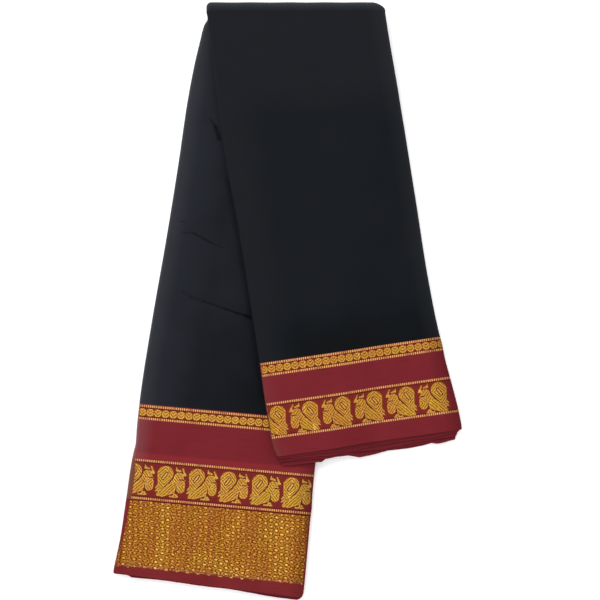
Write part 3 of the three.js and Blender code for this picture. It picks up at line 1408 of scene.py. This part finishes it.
def border_cloth(finish: Finish, look: BorderLook) -> bpy.types.Material:
    """Maroon cloth with woven figures between rows of gold stitches.

    Args:
        finish: its colours.
        look: where its gold lies.

    Returns:
        The material.
    """
    weaver = Weaver(finish)
    slubs = weaver.slubs()
    low, high = look.ruddy
    ruddy = weaver.v.ramp(low - 2, low) * weaver.v.ramp(high + 1, high)
    low, high = look.narrow
    narrow = weaver.v.ramp(low, low + 1) * weaver.v.ramp(high, high - 1)
    soft = 0.4  # how softly the gold ends at a margin
    near, far = look.open_margin
    inner = (weaver.side - weaver.v.ramp(20, 40) * (far - near)).ramp(near - soft, near + soft)
    near, far = look.closed_margin
    margin = (weaver.u - weaver.v.ramp(45, 75) * (far - near)).ramp(near - soft, near + soft)
    both = margin * inner
    figures = weaver.inside.ramp(-0.15, 0.35) * weaver.line.ramp(-0.15, 0.3) * both
    ribs = (weaver.phase + (weaver.noise(2.0, 2.0, 1.0) - 0.5) * 1.1).wave(STITCH).ramp(0.25, 0.7)
    stitches, grooves, stitched = weaver.dashes(look.dashes)
    colour = weaver.layered(
        finish.base,
        (slubs, finish.shade),
        (ruddy * 0.5, "#82292a"),
        # painted sheen at the closed side
        (weaver.turned(weaver.u) * look.pale, SHEEN),
        (weaver.v.ramp(58, 64) * weaver.u.ramp(7, 5) * look.pale * 4.5, "#6a4222"),
        (narrow * both * 0.85, "#7a3a0e"),
        (weaver.inside.ramp(-3.4, -0.4) * both * 0.75, "#79290c"),
        (weaver.inside.ramp(-1.1, 0.2) * both * 0.95, "#471b00"),
        (grooves * margin * 0.85, finish.groove),
        (figures, weaver.gold(ribs)),
        (stitches * margin, stitched),
        # painted shade near the open side
        (weaver.open_side_shade() * 0.42, SIDE_SHADE),
    )
    gold = figures.math("MAXIMUM", stitches * margin)
    return weaver.done(colour, slubs * 0.12 + gold * 0.2 + gold * ribs * 0.25, gold)


@dataclass(frozen=True)
class BrocadeLook:
    """Where the brocade's gold lies, and how its small figures repeat.

    Args:
        start: distance down the piece where it starts.
        ends: distances down the piece where it ends, at the left and at the right edge.
        column: distance from one column of figures to the next.
        step: distance from one figure to the next down a column.
        lean: how far the columns turn away from the closed side, against their length.
        width: width of the leg.
        bright: lines about which the gold lies so that it catches the light.
    """

    start: float = 1.0
    ends: Pair = (79.2, 74.0)
    column: float = 6.1
    step: float = 7.05
    lean: float = 0.14
    width: float = 213.0
    bright: tuple[Mark, ...] = (
        Mark((47, 0), (48, 80), 8.0, 0.9),
        Mark((8, 5), (8, 76), 5.0, 0.55),
        Mark((93, 59), (143, 71), 12.0, 0.75),
        Mark((130, 8), (121, 32), 6.0, 0.8),
        Mark((172, 12), (186, 58), 18.0, 0.7),
        Mark((205, 10), (150, 30), 9.0, 0.25),
    )


def brocade_cloth(finish: Finish, look: BrocadeLook) -> bpy.types.Material:
    """Gold brocade: staggered columns of bright spots, each in a dark ring, then the plain selvedge.

    Args:
        finish: its colours.
        look: where its gold lies.

    Returns:
        The material.
    """
    weaver = Weaver(finish)
    slubs = weaver.slubs()
    u = (weaver.u - weaver.v * look.lean + weaver.noise(16, 30) * 2.4).math("PINGPONG", look.column)
    v = (weaver.v + weaver.noise(20, 12) * 2.4).math("PINGPONG", look.step / 2) * 1.5
    near = (u - look.column).math("POWER", 2) + (v - look.step * 0.75).math("POWER", 2)
    off = (u * u + v * v).math("MINIMUM", near).math("SQRT") + (weaver.noise(1.5, 1.1, 2.0) - 0.5) * 2.0
    spot = off.ramp(1.8, 0.6)
    ring = (off - 2.7).math("ABSOLUTE").ramp(0.8, 0.2)
    light = weaver.noise(5.0, 40).ramp(0.42, 0.68) * 0.55
    for mark in look.bright:
        light = light + weaver.near(mark)
    light = light.ramp(0.0, 1.1)
    grain = weaver.noise(2.0, 1.1, 1.0).ramp(0.3, 0.7) - 0.5
    lit = light * 0.12 + spot * (light * 0.9 + 0.26) - ring * (light * 0.25 + 0.24) + grain * 0.9 + 0.31
    # painted shade near the open side and the closed side, where the cloth rounds away
    lit = (lit - 0.4) * 1.2 + 0.4 - weaver.side.ramp(18, 2) * 0.13 - weaver.u.ramp(13, 4) * 0.2
    lit = lit.ramp(0.0, 1.0)
    left, right = look.ends
    end = weaver.v + weaver.u * ((left - right) / look.width) + off * 0.45
    glints = (weaver.noise(6, 40, 3.0) * 0.5 + light * 0.4 + grain * 0.3).ramp(0.45, 0.75)
    copper = weaver.noise(12, 55).ramp(0.42, 0.62) * (light * -0.6 + 0.5)
    thread = weaver.layered(
        weaver.mixed(lit, finish.dim, finish.gold),
        ((weaver.noise(9, 50) - 0.5) * 1.4 + light * 0.25, weaver.mixed(lit, "#573200", "#cda034")),
        (copper, weaver.mixed(lit, "#672004", "#c98048")),
        (glints * off.ramp(1.5, 0.7), finish.glint),
        (end.ramp(left - 5, left + 1) * 0.45, weaver.mixed(lit, "#5a1d14", "#d39a78")),
    )
    closed = (weaver.u + weaver.v.ramp(0, 40) * 1.4 + weaver.v.ramp(40, 72) * 4.6).ramp(5.0, 6.0)
    gold = weaver.v.ramp(look.start, look.start + 0.4) * end.ramp(left + 1.2, left + 0.7)
    gold = gold * closed * weaver.side.ramp(1.4, 2.6)
    colour = weaver.layered(
        finish.base,
        (slubs, finish.shade),
        (weaver.v.ramp(look.start + 0.2, look.start - 0.2), finish.groove),
        (gold, thread),
        # painted shade near the open side
        (weaver.open_side_shade() * 0.3, SIDE_SHADE),
    )
    return weaver.done(colour, slubs * 0.12 + gold * lit * 0.35, gold)


@dataclass(frozen=True)
class Studio:
    """Pale floor, soft light and a camera straight above.

    Args:
        height: of the camera, in metres.
        aim: x and y of the point under the camera, in metres.
        lens: focal length in millimetres.
        ambient: strength of the even light from all round.
        key_power: power of the large lamp, in watts.
    """

    height: float = 1.5987
    aim: Pair = (0.01399, 0.00189)
    lens: float = 85.0
    ambient: float = 1.05
    key_power: float = 9.0

    def build(self) -> None:
        """Adds the floor, the lights and the camera."""
        scene = bpy.context.scene
        scene.view_settings.view_transform = "Standard"
        bpy.ops.mesh.primitive_plane_add(size=8, location=(0, 0, -0.0002))
        floor = bpy.context.active_object
        floor.name = "studio_floor"
        paper = bpy.data.materials.new("white paper")
        paper.use_nodes = True
        set_inputs(paper.node_tree.nodes["Principled BSDF"], {
            "Base Color": (0.95, 0.95, 0.95, 1.0), "Roughness": 1.0, "Specular IOR Level": 0.0,
            "Emission Color": WHITE, "Emission Strength": 0.22,
        })
        floor.data.materials.append(paper)
        world = bpy.data.worlds.new("studio")
        world.use_nodes = True
        set_inputs(world.node_tree.nodes["Background"], {"Color": WHITE, "Strength": self.ambient})
        scene.world = world
        bpy.ops.object.light_add(type="AREA", location=(-0.35, 0.75, 1.3))
        lamp = bpy.context.active_object
        lamp.name = "studio_key"
        lamp.data.shape, lamp.data.size, lamp.data.energy = "DISK", 0.9, self.key_power
        lamp.rotation_euler = (math.radians(-30), math.radians(-15), 0)
        bpy.ops.object.camera_add(location=(*self.aim, self.height), rotation=(0, 0, 0))
        camera = bpy.context.active_object
        camera.name = "studio_camera"
        camera.data.lens, camera.data.sensor_width = self.lens, 36.0
        camera.data.clip_start, camera.data.clip_end = 0.05, 20.0
        scene.camera = camera


LINES: dict[str, Pair] = {
    "start": (LEG_START, LEG_START),
    "front_border": (403.6, 374.1),
    "front_selvedge": (507.4, 478.0),
    "back_border": (449.2, 467.7),
    "back_brocade": (555.7, 574.4),
    "back_selvedge": (638.8, 667.3),
}


def between(first: str, last: str) -> tuple[Pair, Pair]:
    """Two of the lines across a leg, by name."""
    return LINES[first], LINES[last]

FRONT_CORNER, BACK_CORNER = Corner(478.0, 4.0), Corner(667.3, 7.0)
BACK_END_CORNER = Corner(670.3, 8.0)  # of the layers, which end a little past the outer cloth

FRONT_END = EndLine(
    stations=(0, 0.06, 0.14, 0.215, 0.25, 0.3, 0.36, 0.415, 0.48, 0.54, 0.66, 0.76, 0.82, 0.86, 0.92, 1),
    bundles=(
        Bundle(4, (11, 12, 12.6, 13.3, 9.6, 8.5, 8.5, 10.5, 12.2, 12.7, 13.1, 12.8, 11.2, 9, 8, 8)),
        Bundle(3, (6.5, 7, 8, 9, 10.3, 10, 10.9, 15.2, 14.6, 13, 11, 10, 10.6, 12.8, 12.4, 10.5)),
        Bundle(3, (3.5, 4.2, 5.4, 6, 7, 7.2, 7.6, 8, 9, 9.8, 8.8, 7.5, 7.5, 7, 7, 7)),
        Bundle(2, (2.2, 2.4, 2.6, 3, 3.6, 4.6, 5.2, 5.5, 5.2, 4.6, 4, 4.6, 5, 4.5, 3.6, 3)),
        Bundle(2, (0.4, 0.6, 0.9, 1.1, 1.5, 1.8, 2.2, 2.6, 2.8, 2.2, 1.4, 1, 0.8, 0.9, 1.2, 1)),
    ),
    wave=0.22,
    inset=12.5,
)
BACK_END = EndLine(
    stations=(0, 0.08, 0.1, 0.24, 0.45, 0.61, 0.72, 0.83, 0.93, 1),
    bundles=(
        Bundle(5, (0, 0, 0.6, 0.2, 0.4, 0, 0.8, 1.4, 1.6, 1.4)),
        Bundle(5, (0.4, 0.2, 1.6, 0.6, 0.8, 0.4, 1.2, 2.2, 2.4, 2.2)),
        Bundle(4, (1.1, 0.6, 2.6, 1.2, 1.5, 1, 2, 3.1, 3.2, 3)),
    ),
    wave=0.1,
)


@dataclass(frozen=True)
class Saree:
    """The whole folded saree."""

    def stretches(self) -> list[tuple[ClothStretch, bpy.types.Material]]:
        """The stretches of the outer cloth, each with its material."""
        front_black = ground_cloth(
            # painted shade: the front leg darker lower down, apart from a strip along its closed side
            FRONT_GROUND, (ShadeTone((14, 46), (78, 112), 0.75), ShadeTone((0, 30), (318, 362), 0.75)), (), 0.1, 0.0
        )
        back_black = ground_cloth(
            BACK_GROUND,
            # painted shade: the back leg lighter at its closed side, and darker lower down toward the front
            # leg, where its shadow falls
            (ShadeTone((4, 60), None, 0.8), ShadeTone((30, 130), (330, 420), 0.6)),
            (
                # painted shadow of the front leg, along its left edge on the back leg
                *shade_line(5.5, 0.3, (59, 188), (108, 332), (137, 428)),
                # painted shade in the creases, the last two beside the front leg's edge
                *shade_line(1.1, 0.4, (12, 237), (19, 237.5)),
                *shade_line(1.4, 0.35, (18, 249), (30.5, 250)),
                *shade_line(1.6, 0.5, (30.5, 250), (42.7, 255.4), (53.3, 260.5)),
                *shade_line(1.3, 0.3, (53.3, 260.5), (65.3, 264.4)),
                *shade_line(3.0, 0.2, (30, 317), (40, 322), (53, 325.5)),
                *shade_line(1.5, 0.5, (53, 325.5), (65, 328.3), (80, 332.5)),
                *shade_line(1.8, 0.65, (80, 332.5), (94, 336.2), (104.6, 338.4)),
                *shade_line(2.8, 0.8, (103.5, 338.2), (109, 340.2)),
                *shade_line(2.4, 0.35, (29.6, 120.5), (36, 128)),
                *shade_line(3.4, 0.55, (36, 128), (42, 142)),
            ),
            0.1,
            0.05,
        )
        front_look = BorderLook(
            dashes=(1.5, 14.1, 46.0, 83.0), narrow=(2, 13.8), closed_margin=(0.5, 0.5),
            open_margin=(0.6, 6.4), ruddy=(-20, -10), pale=0.03,
        )
        back_look = BorderLook(
            dashes=(2.1, 15.8, 62.5, 104.6), narrow=(2.6, 15.4), closed_margin=(1.5, 6.4),
            open_margin=(1.0, 2.0), ruddy=(55.5, 60.0), pale=0.13,
        )
        front, back = border_cloth(BORDER, front_look), border_cloth(WIDE_BORDER, back_look)
        gold = brocade_cloth(BROCADE, BrocadeLook())
        return [
            (ClothStretch("front_ground", "ground", "front_pile", Leg.FRONT,
                          *between("start", "front_border")), front_black),
            (ClothStretch("front_border", "border", "front_border_pile", Leg.FRONT,
                          *between("front_border", "front_selvedge"), FRONT_CORNER, FRONT_BANDS), front),
            (ClothStretch("back_ground", "ground", "back_pile", Leg.BACK,
                          *between("start", "back_border")), back_black),
            (ClothStretch("back_border", "border", "back_border_pile", Leg.BACK,
                          *between("back_border", "back_brocade"), None, BACK_BANDS), back),
            (ClothStretch("back_brocade", "brocade", "back_border_pile", Leg.BACK,
                          *between("back_brocade", "back_selvedge"), BACK_CORNER, cell=1.6), gold),
        ]

    def piles(self) -> list[tuple[PileStretch, bpy.types.Material]]:
        """The piles of hidden layers, each with its material."""
        black, maroon = edge_cloth(BLACK_EDGES), edge_cloth(MAROON_EDGES)
        return [
            (PileStretch("front_layers", "ground", "back_ground_cloth", Leg.FRONT,
                         *between("start", "front_border")), black),
            (PileStretch("front_border_layers", "border", "back_ground_cloth", Leg.FRONT,
                         *between("front_border", "front_selvedge"), None, FRONT_END), maroon),
            (PileStretch("back_layers", "ground", "floor", Leg.BACK,
                         *between("start", "back_border")), black),
            (PileStretch("back_border_layers", "border", "floor", Leg.BACK,
                         *between("back_border", "back_selvedge"), BACK_END_CORNER, BACK_END), maroon),
        ]

    def build(self) -> None:
        """Models, dresses and declares every piece."""
        for part, material in [*self.stretches(), *self.piles()]:
            self.declare(part.mesh(), part.node, material)
        fold = CrossFold()
        # the fold's cloth gets a strong painted sheen where it rounds over
        black, edges = ground_cloth(FOLD_GROUND, (), (), 0.95, 0.0), bpy.data.materials[BLACK_EDGES.name]
        self.declare(fold.cloth(), "fold_ground", black)
        self.declare(fold.pile(), "fold_layers", edges)

    def declare(self, piece: bpy.types.Object, node: str, material: bpy.types.Material) -> None:
        """Gives a piece its material, puts it under the root body and hides the CAD node that it stands for.

        Args:
            piece: the piece.
            node: the CAD node that it stands for.
            material: its material.
        """
        piece.data.materials.clear()
        piece.data.materials.append(material)
        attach(piece, "root")
        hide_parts(node)
        LOG.info("%s: %d faces", piece.name, len(piece.data.polygons))


def main() -> None:
    """Builds the saree and its studio."""
    logging.basicConfig(level=logging.INFO, format="%(name)s: %(message)s")
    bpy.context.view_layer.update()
    Saree().build()
    Studio().build()


if __name__ == "__main__":
    main()
